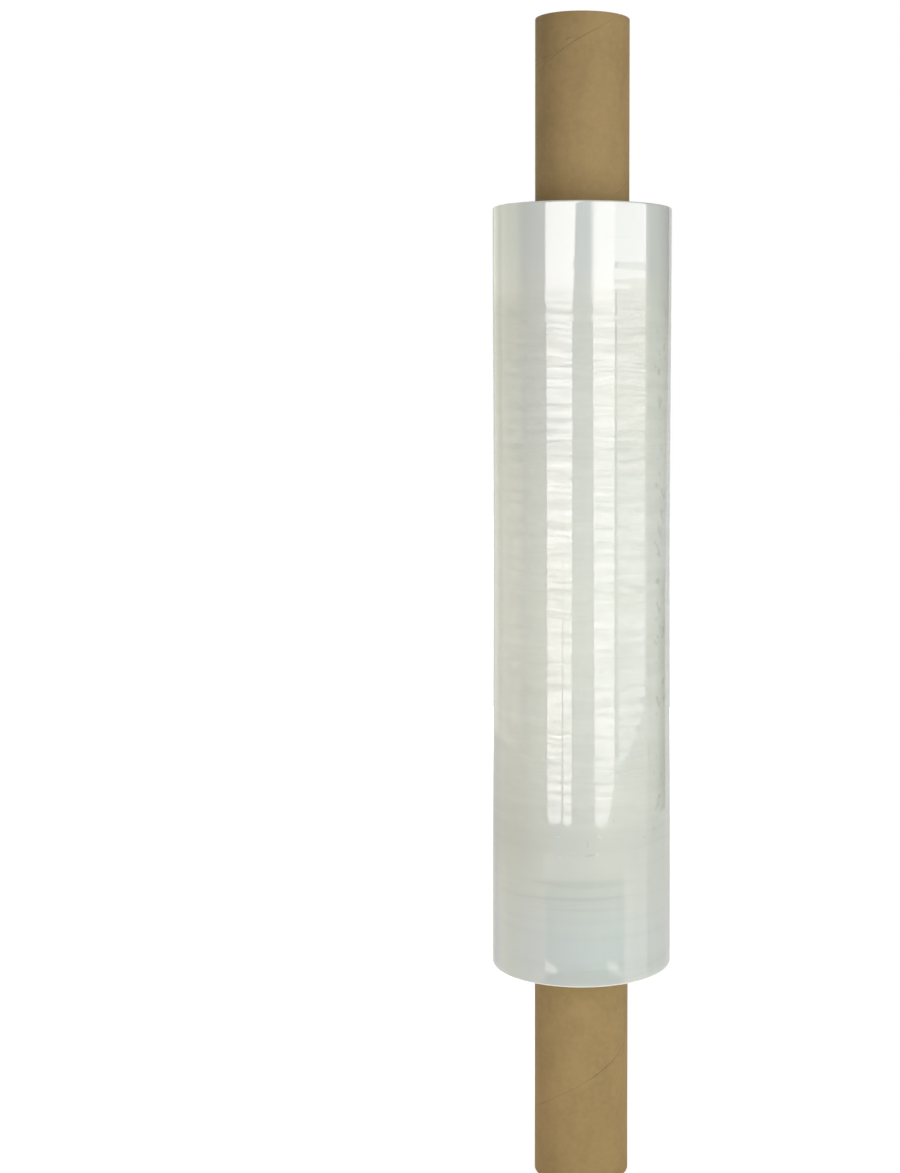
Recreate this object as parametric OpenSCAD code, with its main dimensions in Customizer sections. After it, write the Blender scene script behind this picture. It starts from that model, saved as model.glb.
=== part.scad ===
// A roll of clear stretch wrap, wound on a long paper core whose bare ends are the grips.
// Millimetres, +Z up. The core stands on its lower end, with its axis on Z and that end at z = 0.
// The front is -Y. The film's loose end lies on the back.

/* [Core] */
// Bore of the paper core, which runs on a two inch spindle
core_bore = 50.8; // [38:0.2:80]
// Wall of the paper core
core_wall = 5.65; // [3:0.05:10]
// Bare grip below the film
grip_low = 139.5; // [60:0.5:250]
// Bare grip above the film
grip_up = 123.5; // [60:0.5:250]
// Chamfer on the edges of the sawn ends
core_edge = 0.6; // [0.1:0.1:1.5]

/* [Outer ply] */
// Width of the paper strip that is wound round as the outer ply
ply_w = 98; // [60:1:120]
// Thickness of the outer ply, which is the depth of its seam
ply_t = 0.4; // [0.2:0.1:1]
// Opening between the edges of the outer ply
seam_gap = 0.8; // [0.4:0.1:2]
// Height at which the seam crosses the front of the lower grip
seam_h = 66.5; // [10:0.5:120]

/* [Film] */
// Width of the film, which is the length of the wound roll
film_w = 500; // [250:5:700]
// Depth of film wound on the core, at the roll's ends
film_build = 28; // [12:0.5:60]
// Rounding of the roll's two rims
rim_r = 1.2; // [0.5:0.1:2]

/* [Winding] */
// How far the roll is drawn in at its waist
waist_depth = 0.85; // [0:0.05:3]
// Height of the waist above the film's lower edge
waist_h = 275; // [50:1:650]
// Height over which the waist eases out on either side
waist_reach = 145; // [60:1:300]
// Height of the tension bands that run round the roll
band_h = 0.16; // [0.02:0.02:0.5]
// Middling spacing of the tension bands
band_gap = 14; // [10:1:30]
// Smooth length below the bands
smooth_low = 100; // [20:1:120]
// Smooth length above the bands
smooth_up = 60; // [20:1:120]
// Spacing of the turns that stand proud on the roll's end faces
turn_gap = 1.5; // [1:0.1:4]
// Deepest groove between those turns
turn_dip = 0.35; // [0.1:0.05:0.6]
// Flush outermost turns, which the end faces' grooves stop short of
flush_turns = 2.5; // [1.5:0.1:5]

/* [Loose end] */
// Step where the film's loose end lies on the turn below
tail_step = 0.2; // [0.1:0.05:0.5]
// Bearing of the loose end, counted from +X towards +Y
tail_at = 125; // [90:1:180]

/* [Hidden] */
$fn = 128;

core_r = core_bore / 2 + core_wall;
core_l = grip_low + film_w + grip_up;
film_r = core_r + film_build;

// Bearing of the front, where the seam's height is given
front = -90;
// The strip's own edges meet when it climbs at this angle, and by this much in a turn
ply_climb = asin(ply_w / (2 * PI * core_r));
ply_pitch = ply_w / cos(ply_climb);
// The seam's blade has this many rings in a turn, and runs on past both ends of the core
seam_steps = 16;
spare_rings = 1;
first_ring = -ceil(seam_steps * seam_h / ply_pitch) - spare_rings;
last_ring = ceil(seam_steps * (core_l - seam_h) / ply_pitch) + spare_rings;

// Each tension wave: its share of the height, its spacing in band gaps and its phase
band_waves = [[0.46, 1.64, 0], [0.3, 1, 40], [0.24, 0.66, 110]];
// The barrel is turned as short cones of this height
barrel_step = 4;
barrel_cuts = round((film_w - 2 * rim_r) / barrel_step);
rim_cuts = 4;
face_w = film_build - waist(0) - rim_r - flush_turns;
turns = max(1, round(face_w / turn_gap));
turn_w = face_w / turns;
// Shares of the deepest groove, one for each turn
dips = rands(0.35, 1, turns, 11);
// How far cutters run past the faces that they cut
over = 1;

function ease(u) = let (c = min(1, max(0, u))) c * c * (3 - 2 * c);

// Height of the winding at h above the film's lower edge
function waist(h) = waist_depth * exp(-pow((h - waist_h) / waist_reach, 2));
function band_fade(h) = ease(h / smooth_low) * ease((film_w - h) / smooth_up);
function band_wave(h) = [for (w = band_waves) w[0] * sin(360 * h / (w[1] * band_gap) + w[2])];
function total(v, i = 0) = i < len(v) ? v[i] + total(v, i + 1) : 0;
function barrel_r(h) = film_r - waist(h) + band_h * band_fade(h) * total(band_wave(h));

// Half outline of the roll, from its axis, with its radius grown by extra
function roll_outline(extra) = let (
    low_r = barrel_r(rim_r) - rim_r + extra,
    top_r = barrel_r(film_w - rim_r) - rim_r + extra
) concat(
    [[0, 0]],
    [for (i = [0 : rim_cuts - 1]) let (a = 90 * i / rim_cuts)
        [low_r + rim_r * sin(a), rim_r * (1 - cos(a))]],
    [for (i = [0 : barrel_cuts]) let (h = rim_r + (film_w - 2 * rim_r) * i / barrel_cuts)
        [barrel_r(h) + extra, h]],
    [for (i = [1 : rim_cuts]) let (a = 90 * i / rim_cuts)
        [top_r + rim_r * cos(a), film_w - rim_r * (1 - sin(a))]],
    [[0, film_w]]
);

// One ring of the seam's blade: four points on a radius, low and high, inside and outside the ply
function seam_ring(i) = let (
    a = front + 360 * i / seam_steps,
    z = seam_h + ply_pitch * i / seam_steps,
    half = seam_gap / 2 / cos(ply_climb),
    inner = core_r - ply_t - over,
    outer = core_r + over
) [
    for (p = [[inner, -half], [outer, -half], [outer, half], [inner, half]])
        [p[0] * cos(a), p[0] * sin(a), z + p[1]]
];

// Outline of the grooves between the turns on one end face, cut upwards from below it
function turn_outline() = concat(
    [[core_r - over, -over], [core_r - over, 0]],
    [for (i = [0 : turns - 1]) each [
        [core_r + turn_w * i, 0],
        [core_r + turn_w * (i + 0.5), turn_dip * dips[i]]
    ]],
    [[core_r + face_w, 0], [core_r + face_w, -over]]
);

// The sawn tube, chamfered at its four end edges
module tube() {
    bore_r = core_bore / 2;
    rotate_extrude()
        polygon([
            [bore_r + core_edge, 0],
            [core_r - core_edge, 0],
            [core_r, core_edge],
            [core_r, core_l - core_edge],
            [core_r - core_edge, core_l],
            [bore_r + core_edge, core_l],
            [bore_r, core_l - core_edge],
            [bore_r, core_edge]
        ]);
}

// A right-handed helical blade. Its lower and upper sides cut the edges of the ply
module seam_blade() {
    rings = last_ring - first_ring + 1;
    polyhedron(
        points = [for (i = [first_ring : last_ring]) each seam_ring(i)],
        faces = concat(
            [[0, 1, 2, 3]],
            [for (i = [0 : rings - 2], j = [0 : 3]) let (a = 4 * i + j, b = 4 * i + (j + 1) % 4)
                each [[a, a + 4, b + 4], [a, b + 4, b]]],
            [[for (j = [3 : -1 : 0]) 4 * (rings - 1) + j]]
        )
    );
}

// The gap between the edges of the outer ply, as deep as that ply is thick
module seam() {
    difference() {
        seam_blade();
        translate([0, 0, -ply_pitch])
            cylinder(r = core_r - ply_t, h = core_l + 2 * ply_pitch);
    }
}

module core() {
    color([0.62, 0.53, 0.37])
        difference() {
            tube();
            seam();
        }
}

// Two half turns on centres half a step apart meet on one side
// and leave the film's loose end as a step on the other
module wound_halves() {
    rotate_extrude(angle = 180)
        polygon(roll_outline(0));
    translate([tail_step / 2, 0, 0])
        rotate([0, 0, 180])
            rotate_extrude(angle = 180)
                polygon(roll_outline(tail_step / 2));
}

module turn_grooves() {
    rotate_extrude()
        polygon(turn_outline());
}

module film_roll() {
    color([0.84, 0.87, 0.83])
        translate([0, 0, grip_low])
            rotate([0, 0, tail_at])
                difference() {
                    wound_halves();
                    turn_grooves();
                    translate([0, 0, film_w])
                        mirror([0, 0, 1])
                            turn_grooves();
                    translate([0, 0, -over])
                        cylinder(r = core_r, h = film_w + 2 * over);
                }
}

core();
film_roll();
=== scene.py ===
# %% [markdown]
# # A roll of stretch wrap on its paper core
# The real object has two parts. A long tube of brown paper plies is wound and glued on a
# mandrel and sawn to length. Clear film is then wound tight on its middle, and the bare ends
# stay as grips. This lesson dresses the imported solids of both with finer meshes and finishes.
# Everything is in metres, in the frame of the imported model.

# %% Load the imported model
import math
import random

import bmesh
import bpy
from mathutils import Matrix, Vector


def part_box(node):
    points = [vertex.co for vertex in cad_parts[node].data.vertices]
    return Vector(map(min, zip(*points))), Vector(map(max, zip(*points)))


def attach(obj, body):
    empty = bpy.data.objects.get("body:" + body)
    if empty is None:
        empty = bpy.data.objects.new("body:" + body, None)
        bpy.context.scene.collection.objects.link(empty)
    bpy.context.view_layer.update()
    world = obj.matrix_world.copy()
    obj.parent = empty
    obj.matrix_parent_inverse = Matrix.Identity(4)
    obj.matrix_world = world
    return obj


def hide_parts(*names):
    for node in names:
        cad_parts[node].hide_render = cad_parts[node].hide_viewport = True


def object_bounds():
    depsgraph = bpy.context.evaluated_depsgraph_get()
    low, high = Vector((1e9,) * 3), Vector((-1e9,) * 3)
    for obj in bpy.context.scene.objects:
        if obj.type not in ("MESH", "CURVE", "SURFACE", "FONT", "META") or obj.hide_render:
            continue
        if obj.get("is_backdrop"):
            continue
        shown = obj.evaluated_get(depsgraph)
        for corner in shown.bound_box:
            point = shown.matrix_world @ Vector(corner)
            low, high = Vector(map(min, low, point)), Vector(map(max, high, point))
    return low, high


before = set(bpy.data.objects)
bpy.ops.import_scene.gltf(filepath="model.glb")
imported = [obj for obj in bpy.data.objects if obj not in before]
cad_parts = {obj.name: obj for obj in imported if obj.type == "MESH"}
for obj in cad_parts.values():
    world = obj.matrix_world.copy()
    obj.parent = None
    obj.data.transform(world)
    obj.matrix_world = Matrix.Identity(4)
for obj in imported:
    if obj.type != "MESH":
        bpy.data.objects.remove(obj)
cad_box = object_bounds()
print("packed nodes:", sorted(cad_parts))

# %% [markdown]
# The sizes are those that the solids were built from. The heights are read off the packed
# boxes, so the pieces end where the solids end.

# %% Sizes
MM = 0.001
core_low, core_high = (corner.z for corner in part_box("core"))
film_low, film_high = (corner.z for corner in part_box("film_roll"))
bore_r = 25.4 * MM
core_r = 31.05 * MM
film_r = 59.05 * MM
core_edge = 0.6 * MM
core_plies = 11
ply_t = 0.4 * MM
ply_w = 98 * MM
seam_gap = 0.8 * MM
seam_h = 66.5 * MM
rim_r = 1.2 * MM
tail_step = 0.2 * MM
tail_at = math.radians(125)
ply_climb = math.asin(ply_w / (2 * math.pi * core_r))
ply_pitch = ply_w / math.cos(ply_climb)
print(f"core {core_low:.3f} to {core_high:.3f} m, film {film_low:.3f} to {film_high:.3f} m")
print(f"the paper climbs {math.degrees(ply_climb):.1f} degrees, {ply_pitch / MM:.1f} mm a turn")

# %% [markdown]
# ## The camera
# The photograph was taken from a little above the roll's middle with a lens of about 58 mm. The
# rims of the roll are level, though it stands well right of the middle of the frame. So the
# camera faces the roll squarely and its lens is shifted, by as much as that framing needs.

# %% Camera
photo_w, photo_h = 900, 1173
focal_px = 1876.7
lens_centre = (582.0, 445.2)
sensor = 36.0
camera_away, camera_height = 1.2414, 0.5267
tilt, lean = 2.0, -0.072
bpy.ops.object.camera_add(location=(0, -camera_away, camera_height))
camera = bpy.context.object
camera.name = "photo_camera"
camera.rotation_euler = (math.radians(90 - tilt), math.radians(lean), 0)
camera.data.sensor_fit = "AUTO"
camera.data.sensor_width = sensor
camera.data.lens = focal_px * sensor / photo_h
camera.data.shift_x = (photo_w / 2 - lens_centre[0]) / photo_h
camera.data.shift_y = (lens_centre[1] - photo_h / 2) / photo_h
bpy.context.scene.camera = camera
print(f"lens {camera.data.lens:.1f} mm, shift {camera.data.shift_x:.4f}, {camera.data.shift_y:.4f}")

# %% [markdown]
# ## Working as by hand
# Each piece starts as a primitive and is shaped in edit mode. These helpers do what the mouse
# would do: clear the selection, and pick vertices, edges or faces by where they are.

# %% Helpers for modelling
def clear_selection():
    """Leave edit mode and deselect everything, so a new primitive is picked alone."""
    if bpy.context.mode != "OBJECT":
        bpy.ops.object.mode_set(mode="OBJECT")
    bpy.ops.object.select_all(action="DESELECT")


def pick(kind, wanted):
    """Select the vertices, edges or faces that pass a test, and say how many there are."""
    bpy.ops.mesh.select_mode(type=kind)
    bpy.ops.mesh.select_all(action="DESELECT")
    shape = bmesh.from_edit_mesh(bpy.context.object.data)
    found = 0
    for part in {"VERT": shape.verts, "EDGE": shape.edges, "FACE": shape.faces}[kind]:
        if not part.hide and wanted(part):
            part.select_set(True)
            found += 1
    shape.select_flush_mode()
    bmesh.update_edit_mesh(bpy.context.object.data)
    return found


def move_each(moves):
    """Move single vertices, each by a vector of its own."""
    for index, move in moves:
        pick("VERT", lambda v: v.index == index)
        bpy.ops.transform.translate(value=move)


def middle(edge):
    """Where the middle of an edge is."""
    return (edge.verts[0].co + edge.verts[1].co) / 2


def near(a, b, reach=0.02 * MM):
    """True if two lengths are the same for a modeller's eye."""
    return abs(a - b) < reach


# %% Helper: the cross-section of a wall
def wall_section(name, inner, outer, low, high):
    """A rectangle on the +X side, which is the section of a turned wall. It stays in edit mode."""
    clear_selection()
    bpy.ops.mesh.primitive_plane_add(size=1, rotation=(math.pi / 2, 0, 0),
                                     location=((inner + outer) / 2, 0, (low + high) / 2))
    piece = bpy.context.object
    piece.name = piece.data.name = name
    piece.scale = (outer - inner, high - low, 1)
    bpy.ops.object.transform_apply(location=True, rotation=True, scale=True)
    bpy.ops.object.mode_set(mode="EDIT")
    return piece


def finish_piece(piece, smooth_angle):
    """Merge what meets, turn the faces outwards, smooth the soft edges and report."""
    meeting = 0.004 * MM
    bpy.ops.mesh.select_all(action="SELECT")
    bpy.ops.mesh.remove_doubles(threshold=meeting)
    bpy.ops.mesh.normals_make_consistent(inside=False)
    bpy.ops.object.mode_set(mode="OBJECT")
    bpy.ops.object.shade_smooth_by_angle(angle=math.radians(smooth_angle))
    shape = bmesh.new()
    shape.from_mesh(piece.data)
    open_edges = sum(not edge.is_manifold for edge in shape.edges)
    triangles = sum(len(face.verts) - 2 for face in shape.faces)
    reach = max(math.hypot(v.co.x, v.co.y) for v in shape.verts)
    heights = [v.co.z for v in shape.verts]
    print(f"{piece.name}: {triangles} triangles, {open_edges} open edges, "
          f"{shape.calc_volume() * 1e6:.1f} ml, {reach / MM:.2f} mm from the axis, "
          f"z {min(heights) / MM:.3f} to {max(heights) / MM:.3f} mm")
    shape.free()


# %% [markdown]
# ## The inner plies of the core
# The tube is about a dozen strips of paper, glued one over another. Its sawn ends show them as
# fine rings. The section of the wall is drawn once, the ends are broken into plies that stand
# a little proud or shy, and the section is spun round the axis, as a turner would cut it.

# %% Inner plies
inner_plies = wall_section("inner_plies", bore_r, core_r - ply_t, core_low, core_high)
pick("VERT", lambda v: near(v.co.x, bore_r))
bpy.ops.mesh.bevel(offset=core_edge, segments=2, affect="VERTICES")
pick("VERT", lambda v: near(v.co.x, core_r - ply_t))
bpy.ops.mesh.bevel(offset=core_edge - ply_t, segments=1, affect="VERTICES")
bpy.ops.mesh.select_all(action="SELECT")
bpy.ops.mesh.delete(type="ONLY_FACE")


def step_the_layers(ends, layers, shallow, deep, limit, draw):
    """Cut the section's end lines into layers, and set each one back by an amount of its own."""
    exact = 0.001 * MM
    shortest = 3 * MM
    pick("EDGE", lambda e: near(e.verts[0].co.z, e.verts[1].co.z, exact)
         and e.calc_length() > shortest)
    bpy.ops.mesh.subdivide(number_cuts=2 * layers - 1)
    for end, inwards in zip(ends, (1, -1)):
        shape = bmesh.from_edit_mesh(bpy.context.object.data)
        line = sorted((v.co.x, v.index) for v in shape.verts if near(v.co.z, end, exact))
        move_each([(index, (0, 0, inwards * draw.uniform(shallow, deep)))
                   for x, index in line[1:-1:2] if x < limit])


step_the_layers((core_low, core_high), core_plies, 0.03 * MM, 0.12 * MM, core_r, random.Random(4))

# %% Spin the inner plies
core_steps = 128
bpy.ops.mesh.select_all(action="SELECT")
bpy.ops.mesh.spin(steps=core_steps, angle=2 * math.pi, center=(0, 0, 0), axis=(0, 0, 1))
finish_piece(inner_plies, smooth_angle=40)

# %% [markdown]
# ## The outer ply
# The last strip is what one sees of the core. It is wound as a screw with a thin gap between
# its edges, which is the seam that climbs round the grips. So it is made as a screw: the section
# of the strip is swept round and up by the Screw modifier, and both ends are sawn off level. The
# solid's gap is a little wide, so that it can be made. Here the edges nearly meet.

# %% Outer ply
shown_gap = 0.6 * seam_gap
strip_h = ply_pitch - shown_gap / math.cos(ply_climb)
seam_at_side = seam_h + ply_pitch / 4
turns_below = 2
strip_low = seam_at_side - turns_below * ply_pitch + (ply_pitch - strip_h) / 2
outer_ply = wall_section("outer_ply", core_r - ply_t, core_r, strip_low, strip_low + strip_h)
bpy.ops.mesh.select_all(action="SELECT")
bpy.ops.mesh.delete(type="ONLY_FACE")
bpy.ops.object.mode_set(mode="OBJECT")
screw = outer_ply.modifiers.new("wind", "SCREW")
screw.axis = "Z"
screw.angle = 2 * math.pi
screw.screw_offset = ply_pitch
screw.iterations = math.ceil((core_high - strip_low) / ply_pitch)
screw.steps = screw.render_steps = core_steps
bpy.ops.object.modifier_apply(modifier=screw.name)

# %% Saw the outer ply to length
bpy.ops.object.mode_set(mode="EDIT")
for level, keep_above in ((core_low, True), (core_high, False)):
    bpy.ops.mesh.select_all(action="SELECT")
    bpy.ops.mesh.bisect(
        plane_co=(0, 0, level), plane_no=(0, 0, 1), use_fill=True,
        clear_inner=keep_above, clear_outer=not keep_above,
    )
sawn_edge = 0.3 * MM
rim_edges = pick("EDGE", lambda e: all(
    near(math.hypot(v.co.x, v.co.y), core_r)
    and (near(v.co.z, core_low) or near(v.co.z, core_high)) for v in e.verts))
bpy.ops.mesh.bevel(offset=sawn_edge, segments=2, affect="EDGES")
for level, past in ((core_low, lambda v: v.co.z < core_low),
                    (core_high, lambda v: v.co.z > core_high)):
    pick("VERT", past)
    bpy.ops.transform.resize(value=(1, 1, 0), center_override=(0, 0, level))
finish_piece(outer_ply, smooth_angle=40)
print(f"the sawn rims had {rim_edges} edges")

# %% [markdown]
# ## The wound film
# Hundreds of turns of film make one body. It is drawn in a little at its waist, where the film
# was under more tension, and low bands run round it. The outer line of its section is cut fine
# and pushed with proportional editing: once for the waist, then crest by crest for the bands.

# %% Section of the film
wound_film = wall_section("wound_film", core_r, film_r, film_low, film_high)
pick("VERT", lambda v: near(v.co.x, film_r))
bpy.ops.mesh.bevel(offset=rim_r, segments=4, affect="VERTICES")
bpy.ops.mesh.select_all(action="SELECT")
bpy.ops.mesh.delete(type="ONLY_FACE")
cuts = 20
for _ in range(2):
    lengths = pick("EDGE", lambda e: all(near(v.co.x, film_r) for v in e.verts))
    bpy.ops.mesh.subdivide(number_cuts=cuts)
print("short lengths on the outer line:", lengths * (cuts + 1))

# %% Waist
waist_h = film_low + 275 * MM
waist_depth = 0.85 * MM
waist_reach = 242 * MM
pick("VERT", lambda v: near(v.co.x, core_r))
bpy.ops.mesh.hide()


def push(height, out, reach, falloff="SMOOTH"):
    """Push the outer line in or out at a height, with what lies within reach following."""
    shape = bmesh.from_edit_mesh(bpy.context.object.data)
    shown = (v for v in shape.verts if not v.hide)
    nearest = min(shown, key=lambda v: abs(v.co.z - height)).index
    pick("VERT", lambda v: v.index == nearest)
    bpy.ops.transform.translate(
        value=(out, 0, 0), use_proportional_edit=True, proportional_size=reach,
        proportional_edit_falloff=falloff,
    )


push(waist_h, -waist_depth, waist_reach)

# %% [markdown]
# The bands are three waves of different spacing, as in the solid, so that no two look alike.
# They fade out towards the two ends, where the film lies smooth.

# %% Tension bands
band_h = 0.08 * MM
band_gap = 14 * MM
smooth_low = 140 * MM
ease_low, ease_up = 70 * MM, 60 * MM


def ease(share):
    """A smooth step from 0 to 1."""
    share = min(1, max(0, share))
    return share * share * (3 - 2 * share)


crests = 0
faintest = 0.02
for share, spacing, phase in ((0.46, 1.64, 0), (0.3, 1, 40), (0.24, 0.66, 110)):
    half = spacing * band_gap / 2
    height = film_low + half * (90 - phase) / 180
    out = share * band_h
    while height < film_high - rim_r - half:
        fade = (ease((height - film_low - smooth_low) / ease_low)
                * ease((film_high - height) / ease_up))
        if fade > faintest and height > film_low + half:
            push(height, out * fade, half)
            crests += 1
        height += half
        out = -out
print("crests and troughs pushed:", crests)
bpy.ops.mesh.reveal()

# %% [markdown]
# The ends of the wound film show its turns as fine rings: the web wandered a little as it was
# wound. Both end lines are cut into turns, and each turn is set back by its own amount. The
# outermost turns stay flush.

# %% Turns on the end faces
flush = 2.5 * MM
outside = film_r - rim_r - flush
face_turns = 30
step_the_layers((film_low, film_high), face_turns, 0.1 * MM, 0.35 * MM, outside, random.Random(11))
print("turns on each end:", face_turns)

# %% [markdown]
# The section is spun in two half turns. The second half is moved out by half the step, and its
# centre is moved by half the step as well. It then meets the first half on one side and stands
# proud by the full step on the other, which is the loose end of the film.

# %% Spin the film
film_steps = 72
bpy.ops.mesh.select_all(action="SELECT")
bpy.ops.mesh.spin(steps=film_steps, angle=math.pi, center=(0, 0, 0), axis=(0, 0, -1))
first_half = len(bmesh.from_edit_mesh(wound_film.data).verts)
bpy.ops.mesh.spin(steps=film_steps, angle=math.pi, center=(0, 0, 0), axis=(0, 0, -1))
moved = pick("VERT", lambda v: v.index >= first_half and math.hypot(v.co.x, v.co.y) > outside)
grow = 1 + tail_step / 2 / film_r
bpy.ops.transform.resize(value=(grow, grow, 1), center_override=(0, 0, 0))
bpy.ops.transform.translate(value=(tail_step / 2, 0, 0))
print("vertices in the first half:", first_half, "moved:", moved)

# %% Close the loose end
seam_reach = 0.1 * MM
slit = pick("EDGE", lambda e: e.is_boundary and near(middle(e).y, 0, seam_reach)
            and middle(e).x > outside)
bpy.ops.mesh.bridge_edge_loops()
finish_piece(wound_film, smooth_angle=32)
print("edges bridged along the loose end:", slit)

# %% Turn the loose end to the back
wound_film.rotation_euler.z = tail_at
bpy.ops.object.transform_apply(location=True, rotation=True, scale=True)

# %% [markdown]
# ## Riding and replacing
# The part has one body. The film's mesh stands for its solid, and the two paper pieces stand
# for the core.

# %% Tie the pieces to the frame
for piece, node_name, slot_name in (
    (inner_plies, "core", "core_paper"), (outer_ply, "core", "core_paper"),
    (wound_film, "film_roll", "film"),
):
    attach(piece, "root")
    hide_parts(node_name)

# %% [markdown]
# ## Building finishes from nodes
# A finish is a small tree of nodes. A few helpers keep it readable. They add a node and fill or
# link its inputs, do arithmetic, spread a value over a new range, and shade and mix colours.

# %% Helpers for materials
def fill(tree, made, inputs):
    """Give each named input of a node a value or a link."""
    for key, value in inputs.items():
        if isinstance(value, bpy.types.NodeSocket):
            tree.links.new(value, made.inputs[key])
        else:
            made.inputs[key].default_value = value


def add(tree, kind, inputs=None, **settings):
    """Add a node, set its settings and fill its inputs."""
    made = tree.nodes.new("ShaderNode" + kind)
    for name, value in settings.items():
        setattr(made, name, value)
    fill(tree, made, inputs or {})
    return made


def calc(tree, operation, a, b=0.0):
    """One step of arithmetic on values or links."""
    return add(tree, "Math", {0: a, 1: b}, operation=operation).outputs[0]


def total(tree, *parts):
    """The sum of values and links."""
    made = parts[0]
    for part in parts[1:]:
        made = calc(tree, "ADD", made, part)
    return made


def product(tree, *parts):
    """The product of values and links."""
    made = parts[0]
    for part in parts[1:]:
        made = calc(tree, "MULTIPLY", made, part)
    return made


def scaled(tree, colour, shade):
    """A colour made lighter or darker."""
    return add(tree, "VectorMath", {0: colour, "Scale": shade}, operation="SCALE").outputs[0]


def blend(tree, factor, first, second):
    """A mix of two colours."""
    return add(tree, "Mix", {"Factor": factor, "A": first, "B": second},
               data_type="RGBA").outputs["Result"]


def remap(tree, value, low, high, to_low=0.0, to_high=1.0, smooth=True):
    """Spread a value from one range over another."""
    return add(tree, "MapRange", {"Value": value, "From Min": low, "From Max": high,
                                  "To Min": to_low, "To Max": to_high},
               interpolation_type="SMOOTHSTEP" if smooth else "LINEAR").outputs["Result"]


def roughen(tree, shader, height, strength, distance):
    """Let a height bend the light that the surface sends back."""
    bump = add(tree, "Bump", {"Height": height, "Strength": strength, "Distance": distance})
    tree.links.new(bump.outputs[0], shader.inputs["Normal"])


def new_finish(name):
    """An empty material with its Principled shader."""
    finish = bpy.data.materials.new(name)
    finish.use_nodes = True
    tree = finish.node_tree
    return finish, tree, tree.nodes["Principled BSDF"]


def object_point(tree):
    """The place of a point in its object, and its distance from the axis."""
    point = add(tree, "TexCoord").outputs["Object"]
    flat = add(tree, "VectorMath", {0: point, 1: (1, 1, 0)}, operation="MULTIPLY").outputs[0]
    return point, add(tree, "VectorMath", {0: flat}, operation="LENGTH").outputs["Value"]


# %% [markdown]
# Three effects are shared. The first finds a point's place on the wound strip of paper: how far
# along it lies and how far across. It unrolls the tube, so fibres follow the strip and only
# break at the seam. The second makes noise that is stretched along one direction. The third
# makes one small mark with a soft edge, on the front only. These marks paint shade and
# highlights: a crease on the grip, and small highlights among dark marks on the film.

# %% Shared group: place on the paper strip
def group_with(name, inputs, outputs):
    """A new shader node group with named sockets, and its input and output nodes."""
    tree = bpy.data.node_groups.new(name, "ShaderNodeTree")
    for socket, kind in inputs:
        tree.interface.new_socket(socket, in_out="INPUT", socket_type="NodeSocket" + kind)
    for socket, kind in outputs:
        tree.interface.new_socket(socket, in_out="OUTPUT", socket_type="NodeSocket" + kind)
    given = tree.nodes.new("NodeGroupInput").outputs
    return tree, given, tree.nodes.new("NodeGroupOutput").inputs


strip_place, given, put = group_with("strip_place", [("Point", "Vector")],
                                     [("Strip", "Vector"), ("Seam", "Float")])
tree = strip_place
xyz = add(tree, "SeparateXYZ", {0: given["Point"]}).outputs
bearing = calc(tree, "DIVIDE", calc(tree, "ARCTAN2", xyz["Y"], xyz["X"]), 2 * math.pi)
climbed = calc(tree, "DIVIDE", calc(tree, "SUBTRACT", xyz["Z"], seam_at_side), ply_pitch)
wound = calc(tree, "SUBTRACT", climbed, bearing)
across = calc(tree, "FRACT", wound)
along = calc(tree, "ADD", bearing, calc(tree, "FLOOR", wound))
edge = calc(tree, "MINIMUM", across, calc(tree, "SUBTRACT", 1.0, across))
put_strip = add(tree, "CombineXYZ", {
    "X": calc(tree, "MULTIPLY", along, 2 * math.pi * core_r),
    "Y": calc(tree, "MULTIPLY", across, ply_w),
}).outputs[0]
tree.links.new(put_strip, put["Strip"])
tree.links.new(calc(tree, "MULTIPLY", edge, ply_w), put["Seam"])

# %% Shared group: stretched noise
grain, given, put = group_with(
    "grain", [("Point", "Vector"), ("Stretch", "Vector"), ("Detail", "Float"), ("Seed", "Float")],
    [("Value", "Float")])
spread = add(grain, "VectorMath", {0: given["Point"], 1: given["Stretch"]}, operation="MULTIPLY")
noise = add(grain, "TexNoise", {"Vector": spread.outputs[0], "W": given["Seed"],
                                "Scale": 1.0, "Detail": given["Detail"], "Roughness": 0.55},
            noise_dimensions="4D")
grain.links.new(noise.outputs["Fac"], put["Value"])

# %% Shared group: one small mark on the front
spot, given, put = group_with(
    "spot", [("Point", "Vector"), ("Centre", "Vector"), ("Reach", "Vector"), ("Slope", "Float")],
    [("Value", "Float")])
tree = spot
away = add(tree, "VectorMath", {0: given["Point"], 1: given["Centre"]}, operation="SUBTRACT")
offset = add(tree, "SeparateXYZ", {0: away.outputs[0]}).outputs
upright = calc(tree, "SUBTRACT", offset["Z"], calc(tree, "MULTIPLY", offset["X"], given["Slope"]))
flat = add(tree, "CombineXYZ", {"X": offset["X"], "Z": upright}).outputs[0]
share = add(tree, "VectorMath", {0: flat, 1: given["Reach"]}, operation="DIVIDE").outputs[0]
apart = add(tree, "VectorMath", {0: share}, operation="LENGTH").outputs["Value"]
front_to_back = add(tree, "SeparateXYZ", {0: given["Point"]}).outputs["Y"]
in_front = calc(tree, "LESS_THAN", front_to_back, 0.0)
tree.links.new(calc(tree, "MULTIPLY", in_front, remap(tree, apart, 1.0, 0.3)), put["Value"])


def place(tree, group, **inputs):
    """Put a shared group into a material."""
    made = add(tree, "Group", node_tree=group)
    fill(tree, made, inputs)
    return made.outputs


def noise_of(tree, point, stretch, detail, seed):
    """Stretched noise in a material."""
    return place(tree, grain, Point=point, Stretch=stretch, Detail=detail, Seed=seed)["Value"]


def marks(tree, point, sizes):
    """Small marks, added up. Each row has a mark's place in millimetres, half its length and
    height, its slope and its strength."""
    return total(tree, 0.0, *(
        product(tree, place(tree, spot, Point=point, Centre=(x * MM, 0, z * MM), Slope=slope,
                            Reach=(reach_x * MM, 1, reach_z * MM))["Value"], strength)
        for x, z, reach_x, reach_z, slope, strength in sizes))


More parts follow.
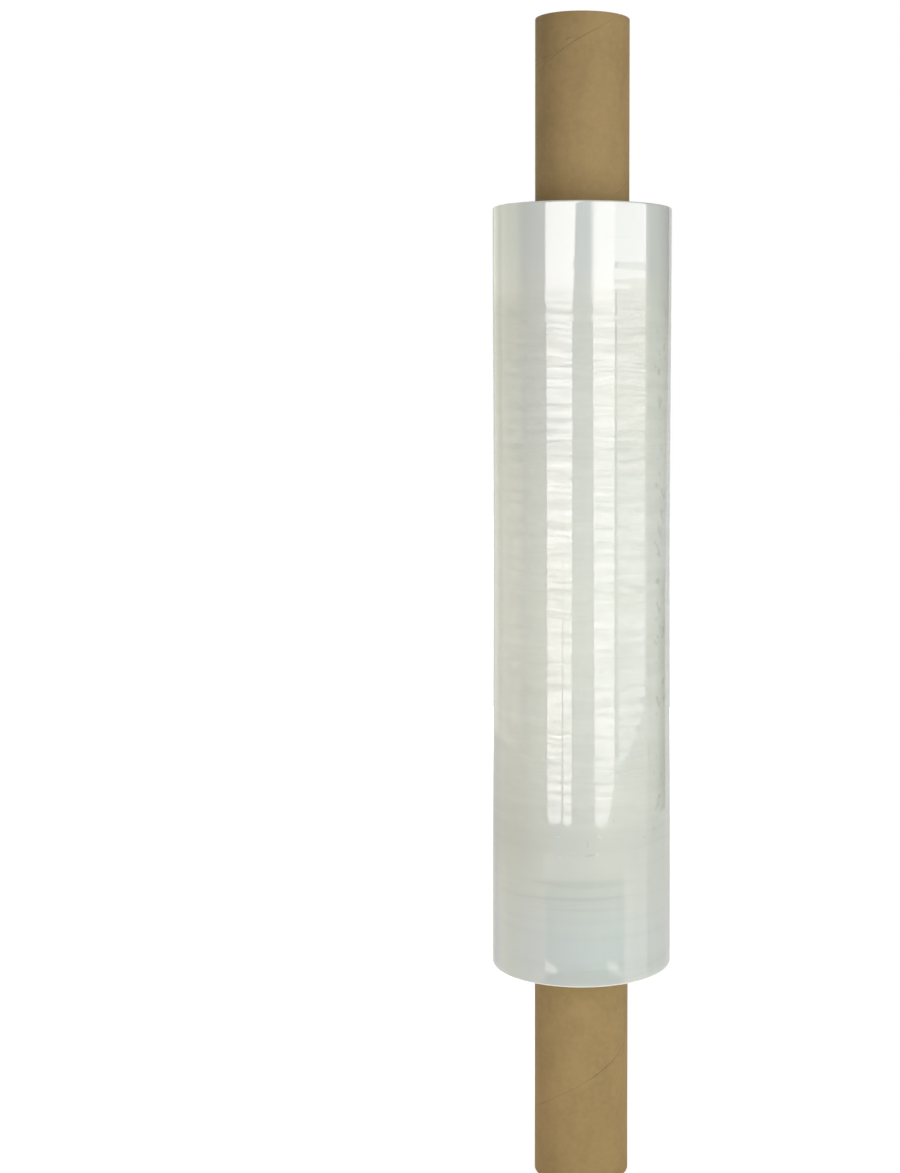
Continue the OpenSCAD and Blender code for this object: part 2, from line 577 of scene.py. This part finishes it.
print("shared groups:", [group.name for group in bpy.data.node_groups])

# %% [markdown]
# ## Kraft paper
# Brown core paper is dull, with a faint sheen where the winder's belts pressed it. Short fibres
# lie along the strip, darker flecks are scattered in it, and its tone drifts from place to
# place. The paper is painted a little lighter along the cut edges at the seam, a painted
# highlight, and a small crease on the upper grip is painted as shade and a highlight.

# %% Kraft paper wall
KRAFT_WARM = (0.385, 0.272, 0.122, 1)
# A small crease on the upper grip, painted as shade with a painted highlight beside it.
GRIP_CREASE_SHADING = (
    (-9, 745.5, 3.4, 0.7, 0.45, -0.22), (-7.6, 744.4, 1.3, 0.6, 0.3, 0.2),
    (-24, 735.2, 2.6, 0.7, 0.2, -0.15), (0.6, 738.8, 2.4, 0.8, 0.3, -0.08),
)


def kraft(name, tone, roughness, patches=0.06):
    """Core paper: fibres along the strip, flecks, drifting tone, a painted highlight along the
    seam's edges and a crease painted as shade and a highlight.
    """
    finish, tree, shader = new_finish(name)
    point = add(tree, "TexCoord").outputs["Object"]
    strip = place(tree, strip_place, Point=point)
    drift = noise_of(tree, point, (45, 45, 28), detail=2.0, seed=1.0)
    blotch = noise_of(tree, point, (240, 240, 240), detail=3.0, seed=2.0)
    fibre = noise_of(tree, strip["Strip"], (260, 1900, 1), detail=3.0, seed=3.0)
    fleck = noise_of(tree, strip["Strip"], (520, 900, 1), detail=1.0, seed=4.0)
    shade = total(
        tree, remap(tree, drift, 0.3, 0.7, -patches, patches),
        remap(tree, blotch, 0.3, 0.7, -0.035, 0.035), remap(tree, fibre, 0.25, 0.75, -0.05, 0.05),
        remap(tree, fleck, 0.68, 0.78, 0.0, -0.13),
        # Painted highlight: a little lighter along the cut edges at the seam.
        remap(tree, strip["Seam"], 0.5 * MM, 1.3 * MM, 0.03, 0.0), 1.0,
        marks(tree, point, GRIP_CREASE_SHADING))
    warmth = remap(tree, blotch, 0.45, 0.75, 0.0, 0.35)
    fill(tree, shader, {
        "Base Color": blend(tree, warmth, scaled(tree, tone, shade), KRAFT_WARM),
        "Roughness": remap(tree, fibre, 0.3, 0.7, roughness - 0.06, roughness + 0.06),
        "IOR": 1.45, "Specular IOR Level": 0.08,
    })
    roughen(tree, shader, total(tree, fibre, product(tree, blotch, 0.6)), 0.35, 0.06 * MM)
    return finish


kraft_wall = kraft("kraft_wall", tone=(0.364, 0.253, 0.108), roughness=0.68)
# The under plies have a lighter tone than the wall: painted light, so that the seam's groove shows
# as a lighter line.
kraft_under = kraft("kraft_under", tone=(0.42, 0.3, 0.14), roughness=0.72, patches=0.3)

# %% [markdown]
# The saw leaves the ends of the tube furry and pale, with a dark glue line between plies. The
# rings follow the distance from the axis.

# %% Sawn ends
SAWN_TONE = (0.5, 0.38, 0.215)
ring_gap = 0.46 * MM
kraft_sawn, tree, shader = new_finish("kraft_sawn")
point, radius = object_point(tree)
ring = calc(tree, "FRACT", calc(tree, "DIVIDE", radius, ring_gap))
off_middle = calc(tree, "ABSOLUTE", calc(tree, "SUBTRACT", ring, 0.5))
glue = remap(tree, off_middle, 0.36, 0.5, 0.0, 0.22)
fuzz = noise_of(tree, point, (1600, 1600, 1600), detail=4.0, seed=6.0)
shade = calc(tree, "SUBTRACT", remap(tree, fuzz, 0.3, 0.7, 0.88, 1.12), glue)
fill(tree, shader, {"Base Color": scaled(tree, SAWN_TONE, shade),
                    "Roughness": remap(tree, fuzz, 0.3, 0.7, 0.82, 0.95)})
roughen(tree, shader, fuzz, 0.5, 0.1 * MM)

# %% [markdown]
# ## The film
# One layer is clear. Hundreds of layers with a trace of air between them look milky, with a
# green-grey cast, and the stack of faces reflects more than a single sheet does. So the body is
# a pale scattering colour, and a strong clear coat stands for the stack. Where the layers lie
# tight the coat is full, and where a turn crept or trapped air it fades in thin level lines.

# %% Film side
def up(height):
    """A height in millimetres above the film's lower end."""
    return film_low + height * MM


def down(depth):
    """A height in millimetres below the film's upper end."""
    return film_high - depth * MM


def milky(tree, shader):
    """Let light spread inside the wound film."""
    fill(tree, shader, {"Subsurface Weight": 0.35, "Subsurface Radius": (0.02, 0.022, 0.018),
                        "Subsurface Scale": 0.6})


film_side, tree, shader = new_finish("film_side")
point = add(tree, "TexCoord").outputs["Object"]
xyz = add(tree, "SeparateXYZ", {0: point}).outputs
sideways, level = xyz["X"], xyz["Z"]
top_smooth = remap(tree, level, down(72), down(48))
low_smooth = remap(tree, level, up(112), up(84))
banded = calc(tree, "SUBTRACT", 1.0, calc(tree, "MAXIMUM", top_smooth, low_smooth))
sway = noise_of(tree, point, (48, 48, 40), detail=1.0, seed=10.0)
lift = remap(tree, sway, 0.25, 0.75, -1.4 * MM, 1.4 * MM, smooth=False)
upwards = add(tree, "CombineXYZ", {"Z": lift}).outputs[0]
bent = add(tree, "VectorMath", {0: point, 1: upwards}).outputs[0]
lines = noise_of(tree, bent, (11, 11, 250), detail=1.5, seed=11.0)
blocks = noise_of(tree, bent, (7, 7, 95), detail=1.0, seed=12.0)
hairs = noise_of(tree, bent, (60, 60, 480), detail=0.0, seed=14.0)
drift = noise_of(tree, point, (16, 16, 9), detail=1.0, seed=13.0)

# %% Film gloss: tight layers shine, crept turns don't
busy = noise_of(tree, point, (5, 5, 26), detail=1.0, seed=17.0)
hair = total(tree, remap(tree, hairs, 0.58, 0.66, 0.0, -0.22),
             remap(tree, hairs, 0.42, 0.34, 0.0, 0.2))
streak = total(tree, remap(tree, lines, 0.44, 0.56, -0.15, 0.15),
               remap(tree, blocks, 0.44, 0.56, -0.1, 0.1),
               product(tree, hair, remap(tree, busy, 0.4, 0.6, 0.6, 1.2)))
strength = product(
    tree, total(tree, remap(tree, sideways, -0.015, 0.01, 0.6, 0.47),
                remap(tree, sideways, 0.018, 0.026, 0.0, 0.23)),
    remap(tree, level, up(90), down(90), 1.0, 1.3, smooth=False),
    remap(tree, calc(tree, "ABSOLUTE", sideways), 0.038, 0.05, 1.0, 0.2))
tight = total(tree, remap(tree, level, up(90), down(90), 0.45, 0.58, smooth=False),
              product(tree, streak, strength, banded), product(tree, top_smooth, 0.34),
              remap(tree, level, up(95), up(60), 0.0, 0.3),
              remap(tree, sideways, 0.044, 0.053, 0.0, 0.4))
fill(tree, shader, {
    "Coat Weight": calc(tree, "MINIMUM", 1.0, calc(tree, "MAXIMUM", 0.05, tight)),
    "Coat Roughness": 0.025, "Coat IOR": 1.92, "Specular IOR Level": 0.03,
})

# %% Film tone: warmer in the middle, cooler at the ends
FILM_WARM, FILM_COOL = (0.64, 0.665, 0.575, 1), (0.61, 0.648, 0.592, 1)
ends = calc(tree, "MAXIMUM", remap(tree, level, up(70), up(20)),
            remap(tree, level, down(60), down(25)))
cool = total(tree, ends, remap(tree, drift, 0.4, 0.65, 0.0, 0.5))
tone = blend(tree, cool, FILM_WARM, FILM_COOL)

# %% [markdown]
# The milky body has a tone, and a veil of air between the turns makes it a little lighter or
# darker along the bands. The body is also painted lighter in the middle, which is painted light,
# and darker in a mottled band down its right side and towards the bottom, which is painted
# shade; near its lower end it is a little lighter again. Below the bands there are faint level
# lines, a few small dark marks and a few painted highlights.

# %% Film body
# Rows with a positive strength are painted highlights; the others are small dark marks and faint
# level lines.
FILM_MARKS_AND_HIGHLIGHTS = (
    (-15, 236, 2.2, 0.5, 0.0, 0.13), (11.5, 236.3, 2.0, 1.2, -0.6, 0.1),
    (-13.6, 223, 0.7, 0.7, 0.0, 0.2), (4, 231.5, 0.8, 3.0, 0.0, -0.1),
    (5.5, 224.3, 4.5, 1.2, 0.1, -0.1), (10.2, 225, 1.2, 1.6, 0.0, 0.1),
    (20.5, 245.8, 0.8, 1.6, 0.0, -0.12), (40.5, 232.5, 2.0, 0.5, 0.1, -0.12),
    (0, 205.6, 44, 4.2, 0.0, -0.065), (1, 196.4, 46, 1.8, 0.01, -0.06),
    (-2, 189.2, 40, 1.6, -0.01, -0.04),
)
RIM_HIGHLIGHT = (0.94, 0.92, 0.83, 1)
# Painted light: the body is lighter in the middle of its height.
painted_light_middle = product(tree, remap(tree, level, up(60), up(310)), remap(tree, level, down(0), down(350)))
mottle = noise_of(tree, bent, (230, 60, 130), detail=2.0, seed=15.0)
# Painted shade: a mottled darker band down the right side.
painted_shade_right = product(tree, banded, product(tree, remap(tree, sideways, 0.045, 0.048),
                                        remap(tree, sideways, 0.0555, 0.053)))
low_bands = noise_of(tree, point, (3, 3, 120), detail=1.0, seed=16.0)
veil_and_painted_light = total(
    tree, 1.0, product(tree, painted_light_middle, 0.126),
    product(tree, banded, remap(tree, blocks, 0.42, 0.58, 0.02, -0.02)),
    remap(tree, lines, 0.3, 0.36, -0.03, 0.0),
    product(tree, painted_shade_right, remap(tree, mottle, 0.55, 0.66, 0.0, -0.16)),
    product(tree, low_smooth, remap(tree, low_bands, 0.5, 0.66, 0.0, -0.02)),
    # Painted shade: darker towards the bottom, then a little lighter near the lower end.
    remap(tree, level, up(130), up(85), 0.0, -0.055),
    remap(tree, level, up(60), up(35), 0.0, 0.025), marks(tree, point, FILM_MARKS_AND_HIGHLIGHTS))
# Painted highlight: the body turns pale along the lower rim.
lower_rim_highlight = remap(tree, level, up(1.3), up(0.6))
fill(tree, shader, {
    "Base Color": blend(tree, lower_rim_highlight, scaled(tree, tone, veil_and_painted_light), RIM_HIGHLIGHT),
    "Roughness": remap(tree, drift, 0.3, 0.7, 0.32, 0.26),
})
milky(tree, shader)

# %% Film ripples
ripple = total(tree, drift, product(tree, lines, banded, 0.02))
roughen(tree, shader, ripple, 0.15, 0.1 * MM)

# %% [markdown]
# The end faces are the cut edges of every turn. They are duller than the side, and show fine
# rings that are lighter where a turn stands proud.

# %% Film end faces
FACE_TONE = (0.78, 0.82, 0.75)
film_face, tree, shader = new_finish("film_face")
point, radius = object_point(tree)
turn_line = add(tree, "CombineXYZ", {"X": radius}).outputs[0]
rings = noise_of(tree, turn_line, (2600, 1, 1), detail=3.0, seed=21.0)
cloud = noise_of(tree, point, (60, 60, 60), detail=2.0, seed=22.0)
shade = total(tree, remap(tree, rings, 0.3, 0.7, 0.86, 1.08),
              remap(tree, cloud, 0.3, 0.7, -0.04, 0.04))
fill(tree, shader, {"Base Color": scaled(tree, FACE_TONE, shade),
                    "Roughness": remap(tree, rings, 0.3, 0.7, 0.5, 0.34)})
milky(tree, shader)
roughen(tree, shader, rings, 0.4, 0.08 * MM)

# %% [markdown]
# Each piece gets its finishes face by face: the level faces near the ends are sawn or wound
# edges, and the rest is wall.

# %% Give the faces their finishes
def dress(piece, wall, level_face, steepness=0.6):
    """Give level faces one finish and all the others another."""
    piece.data.materials.clear()
    piece.data.materials.append(wall)
    piece.data.materials.append(level_face)
    for face in piece.data.polygons:
        face.material_index = 1 if abs(face.normal.z) > steepness else 0
    print(f"{piece.name}: {sum(f.material_index for f in piece.data.polygons)} level faces")


dress(inner_plies, wall=kraft_under, level_face=kraft_sawn)
dress(outer_ply, wall=kraft_wall, level_face=kraft_sawn)
dress(wound_film, wall=film_side, level_face=film_face)

# %% [markdown]
# ## The studio
# The roll stands on a white floor. The floor and the world are white to the camera and in
# reflections, and the floor keeps a soft shadow.

# %% Floor
def looked_at(tree):
    """1 for rays from the camera, from reflections and through clear things, otherwise 0."""
    path = add(tree, "LightPath").outputs
    return calc(tree, "MAXIMUM", path["Is Camera Ray"],
                calc(tree, "MAXIMUM", path["Is Glossy Ray"], path["Is Transmission Ray"]))


clear_selection()
bpy.ops.mesh.primitive_plane_add(size=12, location=(0, 0, core_low))
floor = bpy.context.object
floor.name = "floor"
floor_white, tree, shader = new_finish("floor_white")
fill(tree, shader, {
    "Base Color": (0.86, 0.86, 0.86, 1), "Roughness": 0.9, "Specular IOR Level": 0.1,
    "Emission Color": (1, 1, 1, 1), "Emission Strength": product(tree, looked_at(tree), 0.62),
})
floor.data.materials.append(floor_white)
floor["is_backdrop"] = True

# %% World
AMBIENT = (0.51, 0.475, 0.49, 1)
world = bpy.data.worlds.new("studio")
bpy.context.scene.world = world
world.use_nodes = True
tree = world.node_tree
sky = blend(tree, looked_at(tree), AMBIENT, (1, 1, 1, 1))
tree.links.new(sky, tree.nodes["Background"].inputs["Color"])

# %% [markdown]
# The white stripes on the film are tall softboxes in front of it, left and right. Where a
# stripe begins and ends fixes the bearing and the height of its softbox. They are seen in
# reflections only. Plain area lamps light the object.

# %% Helpers for the lights
def around(bearing, distance, height):
    """A point at a bearing from the front, a distance from the axis and a height."""
    turn = math.radians(bearing)
    return Vector((distance * math.sin(turn), -distance * math.cos(turn), height))


def standing(bearing, height, turn, distance):
    """A point on an upright card that faces the axis."""
    return around(bearing, distance / math.cos(math.radians(bearing) - turn), height)


def shine(made, colour, glow, fades):
    """Let a card shine in reflections only. Its left, right, lower and upper edges may fade,
    each over a share of its width or height."""
    light, tree, shader = new_finish(made.name + "_light")
    uv = add(tree, "SeparateXYZ", {0: add(tree, "TexCoord").outputs["UV"]}).outputs
    sides = [side for value in (uv["X"], uv["Y"])
             for side in (value, calc(tree, "SUBTRACT", 1.0, value))]
    fill(tree, shader, {
        "Base Color": (0, 0, 0, 1), "Specular IOR Level": 0,
        "Emission Color": colour, "Emission Strength": glow,
        "Alpha": product(tree, 1.0, *(remap(tree, side, 0.0, share)
                                      for side, share in zip(sides, fades) if share)),
    })
    made.data.materials.append(light)
    made.visible_camera = made.visible_diffuse = made.visible_shadow = False
    made.visible_transmission = made.visible_volume_scatter = False
    print(f"{made.name}: {len(made.data.vertices)} corners, glow {glow}")


# %% Softboxes
SOFTBOX_WHITE = (1, 0.95, 0.98, 1)
card_top = 1.2


def card(name, upper, lower, glow, distance=0.9, colour=SOFTBOX_WHITE, soft=(0, 0)):
    """An upright card. Each corner has a bearing and a height. The lower edge may have more
    corners than two, and the left and right sides may fade over a share of the width."""
    clear_selection()
    turn = math.radians((upper[0][0] + upper[-1][0]) / 2)
    bpy.ops.mesh.primitive_plane_add(size=1, rotation=(math.pi / 2, 0, turn),
                                     location=standing(math.degrees(turn), 0, turn, distance))
    made = bpy.context.object
    made.name = name
    bpy.ops.object.transform_apply(location=True, rotation=True, scale=True)
    bpy.ops.object.mode_set(mode="EDIT")
    if len(lower) > 2:
        pick("EDGE", lambda e: near(middle(e).z, -0.5))
        bpy.ops.mesh.subdivide(number_cuts=len(lower) - 2)
    sideways = Vector((math.cos(turn), math.sin(turn), 0))
    shape = bmesh.from_edit_mesh(made.data)
    for corners, is_row in ((upper, lambda v: v.co.z > 0), (lower, lambda v: v.co.z < 0)):
        row = sorted((v.co.dot(sideways), v.index, v.co.copy()) for v in shape.verts if is_row(v))
        move_each([(index, standing(*corner, turn, distance) - place_now)
                   for (_, index, place_now), corner in zip(row, corners)])
    bpy.ops.object.mode_set(mode="OBJECT")
    shine(made, colour, glow, soft + (0, 0))
    made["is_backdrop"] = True
    return made


card("softbox_left_top", [(-49.0, card_top), (7.2, card_top)], [(-48.2, 0.6), (-9.4, 0.6)], 5.1,
     soft=(0.09, 0.09))
card("softbox_left", [(-45, 0.602), (-22, 0.602)],
     [(-42.9, 0.056), (-39.8, 0.05), (-24.3, 0.051)], 5.1, soft=(0, 0.04))
card("softbox_left_inner", [(-24.5, 0.602), (-11.8, 0.602)],
     [(-22.9, 0.051), (-15, 0.048), (-12.3, 0.054)], 5.1, soft=(0.06, 0))
card("softbox_right_top", [(7.4, card_top), (46, card_top)], [(7.6, 0.6), (43, 0.6)], 4.9,
     soft=(0.28, 0.14))
card("softbox_right", [(13.3, 0.602), (40.9, 0.602)],
     [(16.8, 0.047), (19.0, 0.045), (29.5, 0.047), (35, 0.058), (41.5, 0.09)], 4.9)
card("softbox_far_right_top", [(36, card_top), (87.2, card_top)], [(41, 0.63), (86.6, 0.63)], 4.0)
card("softbox_far_right", [(43.2, 0.64), (86.4, 0.64)],
     [(48.1, 0.108), (63, 0.129), (87.6, 0.173)], 2.95)

# %% [markdown]
# Dim cards stand close to the roll beside the softboxes. They keep the film from mirroring white
# there, which gives it the darker band inside its right side, the greyer tone beside the left
# stripe, and edges that stand out from the white background. One more stands in the middle,
# between the stripes. Each row of the table says where a card's upper edge begins and ends and
# how high it is, the same for its lower edge, and then how the card shines.

# %% Dim cards
close = 0.4
GREY, WARM, COOL = (1, 1, 1, 1), (1, 1.02, 0.85, 1), (1.0, 1.06, 1.25, 1)
DIM_CARDS = (
    ("dim_right", (87, 116), card_top, (88.5, 116), 0.15, 0.33, close, GREY, (0, 0)),
    ("dim_right_top", (106, 143), card_top, (106, 141), 0.575, 0.15, close - 0.02, GREY, (0.3, 0)),
    ("dim_right_upper", (106, 141), 0.577, (106, 132.5), 0.36, 0.3, close - 0.02, GREY, (0.4, 0)),
    ("dim_right_middle", (106, 132.5), 0.362, (106, 131), 0.165, 0.02, close - 0.02, GREY,
     (0.4, 0)),
    ("dim_right_low", (88.5, 131), 0.152, (88.5, 131), 0.0, 0.6, close + 0.01, GREY, (0, 0)),
    ("dim_right_back", (128, 176), card_top, (128, 176), 0.0, 0.68, close + 0.03, GREY, (0, 0)),
    ("dim_left", (-84, -47.6), card_top, (-84, -45), 0.0, 1.15, close, GREY, (0.5, 0)),
    ("pale_left", (-122, -70), card_top, (-122, -70), 0.22, 1.95, close, WARM, (0.1, 0.4)),
    ("pale_left_low", (-122, -70), 0.22, (-122, -70), 0.0, 1.35, close, WARM, (0.1, 0.4)),
    ("pale_left_edge", (-150, -118), card_top, (-150, -118), 0.22, 1.4, close + 0.02, WARM,
     (0, 0)),
    ("dim_left_back", (-176, -146), card_top, (-176, -146), 0.2, 0.8, close + 0.03, GREY, (0, 0)),
    ("dim_left_low", (-176, -126), 0.22, (-176, -126), 0.0, 0.82, close + 0.03, GREY, (0, 0.2)),
    ("cool_middle", (-12, 12), card_top, (-12, 12), 0.0, 1.0, 1.0, COOL, (0, 0)),
)
for name, above, top, below, foot, glow, distance, colour, soft in DIM_CARDS:
    card(name, [(bearing, top) for bearing in above], [(bearing, foot) for bearing in below],
         glow, distance, colour, soft)

# %% [markdown]
# The lowest part of the film looks down at the studio floor. Soft-edged cards that lie there
# give it its cool patch and the lighter patch on the right.

# %% Cards on the floor
def floor_card(name, bearings, near_line, far_line, colour, glow, height, edges):
    """A card on the floor with soft edges, bent round the roll between two bearings.
    Each line gives distances from the axis, spread evenly over the bearings."""
    clear_selection()
    bpy.ops.mesh.primitive_grid_add(x_subdivisions=8, y_subdivisions=1, size=1,
                                    location=(0, 0, core_low + height))
    made = bpy.context.object
    made.name = name
    bpy.ops.object.transform_apply(location=True, rotation=True, scale=True)
    bpy.ops.object.mode_set(mode="EDIT")
    moves = []
    for vert in bmesh.from_edit_mesh(made.data).verts:
        share = vert.co.x + 0.5
        line = near_line if vert.co.y < 0 else far_line
        spans = len(line) - 1
        step = min(spans - 1, int(share * spans))
        distance = line[step] + (line[step + 1] - line[step]) * (share * spans - step)
        target = around(bearings[0] + (bearings[1] - bearings[0]) * share, distance, vert.co.z)
        moves.append((vert.index, target - vert.co))
    move_each(moves)
    bpy.ops.object.mode_set(mode="OBJECT")
    across, inwards = edges
    shine(made, colour, glow, (across, across, inwards, inwards))
    made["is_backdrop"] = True


PALE, COOL_BLUE, DEEP_BLUE = (1, 1, 0.97, 1), (0.46, 0.71, 0.89, 1), (0.0, 0.12, 0.2, 1)
floor_card("floor_cool", (-52, 58), (0.4, 0.4), (0.92, 0.95, 0.92), COOL_BLUE, 1.0, 0.002,
           (0.08, 0.3))
floor_card("floor_near", (-51, 54), (0.3, 0.3), (0.495, 0.525, 0.535, 0.525, 0.495),
           DEEP_BLUE, 1.0, 0.003, (0.05, 0.05))
floor_card("floor_pale", (58, 96), (0.47, 0.47), (0.76, 0.74), PALE, 1.2, 0.004, (0.45, 0.2))
floor_card("floor_glint_left", (-47, -27), (0.495, 0.5), (0.548, 0.518), PALE, 2.6, 0.006,
           (0.25, 0.3))
floor_card("floor_glint_right", (29, 48), (0.515, 0.49), (0.545, 0.523), PALE, 2.4, 0.006,
           (0.3, 0.3))

# %% Lamps
def lamp(name, bearing, height, aim, size, watts, distance=1.7, colour=(1, 1, 1)):
    """A soft area lamp that faces the roll and isn't seen in reflections."""
    clear_selection()
    place_at = around(bearing, distance, height)
    bpy.ops.object.light_add(type="AREA", location=place_at)
    made = bpy.context.object
    made.name = name
    made.rotation_euler = (Vector((0, 0, aim)) - place_at).to_track_quat("-Z", "Y").to_euler()
    made.data.shape = "RECTANGLE"
    made.data.size, made.data.size_y = size
    made.data.energy = watts
    made.data.color = colour
    made.visible_camera = made.visible_glossy = made.visible_transmission = False


lamp("lamp_right", 32, 0.27, 0.27, (1.0, 1.4), 11.4, 1.5, (0.96, 1.04, 1.03))
lamp("lamp_low_right", 42, 0.05, 0.06, (0.4, 0.4), 1.0, 0.8)
lamp("lamp_left", -50, 0.1, 0.1, (0.6, 0.6), 2.0, 0.95, (1, 0.98, 0.96))
lamp("lamp_back", 180, 0.6, 0.4, (0.9, 1.2), 8)

# %% [markdown]
# A black flag beside the upper grip takes light away from its left side.

# %% Flag
flag = card("flag_left", [(-108, 0.88), (-48, 0.88)], [(-108, 0.66), (-48, 0.66)], 0.0, 0.2)
flag.visible_diffuse = flag.visible_shadow = True
flag.visible_glossy = False

# %% [markdown]
# ## Last steps
# Colours come out about as they are written with the Standard view. The boxes of the solids and
# of the finished pieces are written down for comparison.

# %% Colour management, sizes and finish
bpy.context.scene.view_settings.view_transform = "Standard"
clear_selection()
final_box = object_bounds()
for name, box in (("solids", cad_box), ("pieces", final_box)):
    print(name, [[round(value, 5) for value in corner] for corner in box])
